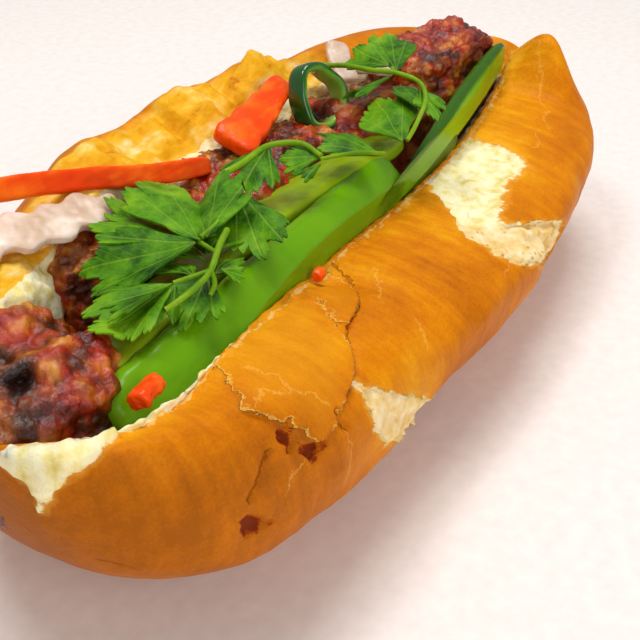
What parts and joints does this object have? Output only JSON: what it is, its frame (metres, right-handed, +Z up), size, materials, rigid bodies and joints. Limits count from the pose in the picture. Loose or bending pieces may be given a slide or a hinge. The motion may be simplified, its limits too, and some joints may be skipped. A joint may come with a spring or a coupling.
{
  "type": "banh mi sandwich",
  "caption": "Banh mi sandwich: split crusty baguette roll filled with glossy grilled pork, long cucumber slices, carrot, daikon, green chili and cilantro sprigs",
  "frame": {"origin": "middle of the flat spot under the roll, on the surface it rests on", "axes": "+X along the roll, toward the end with the raised crust tip; -Y toward the lower, golden near wall; +Z up out of the open slit"},
  "size_m": [0.21, 0.0948, 0.061],
  "materials": {
    "bread_crust": "satin golden crust with pale crumb where torn",
    "pork": "wet glossy glaze",
    "cucumber": "moist satin",
    "carrot": "moist satin",
    "daikon": "moist, slightly translucent",
    "chili": "wet glossy skin",
    "cilantro": "soft leaf sheen"
  },
  "bodies": {
    "root": {"bread": "bread_crust", "pork_near": "pork", "pork_left": "pork", "pork_middle": "pork", "pork_right": "pork", "pork_far": "pork", "cucumber_front": "cucumber", "cucumber_right": "cucumber", "cucumber_behind": "cucumber", "cucumber_below": "cucumber", "carrot_long": "carrot", "carrot_wedge": "carrot", "carrot_bit_left": "carrot", "carrot_bit_right": "carrot", "daikon_long": "daikon", "daikon_middle": "daikon", "daikon_right": "daikon", "chili_ring": "chili", "cilantro_near": "cilantro", "cilantro_middle": "cilantro", "cilantro_far": "cilantro"}
  },
  "joints": []
}
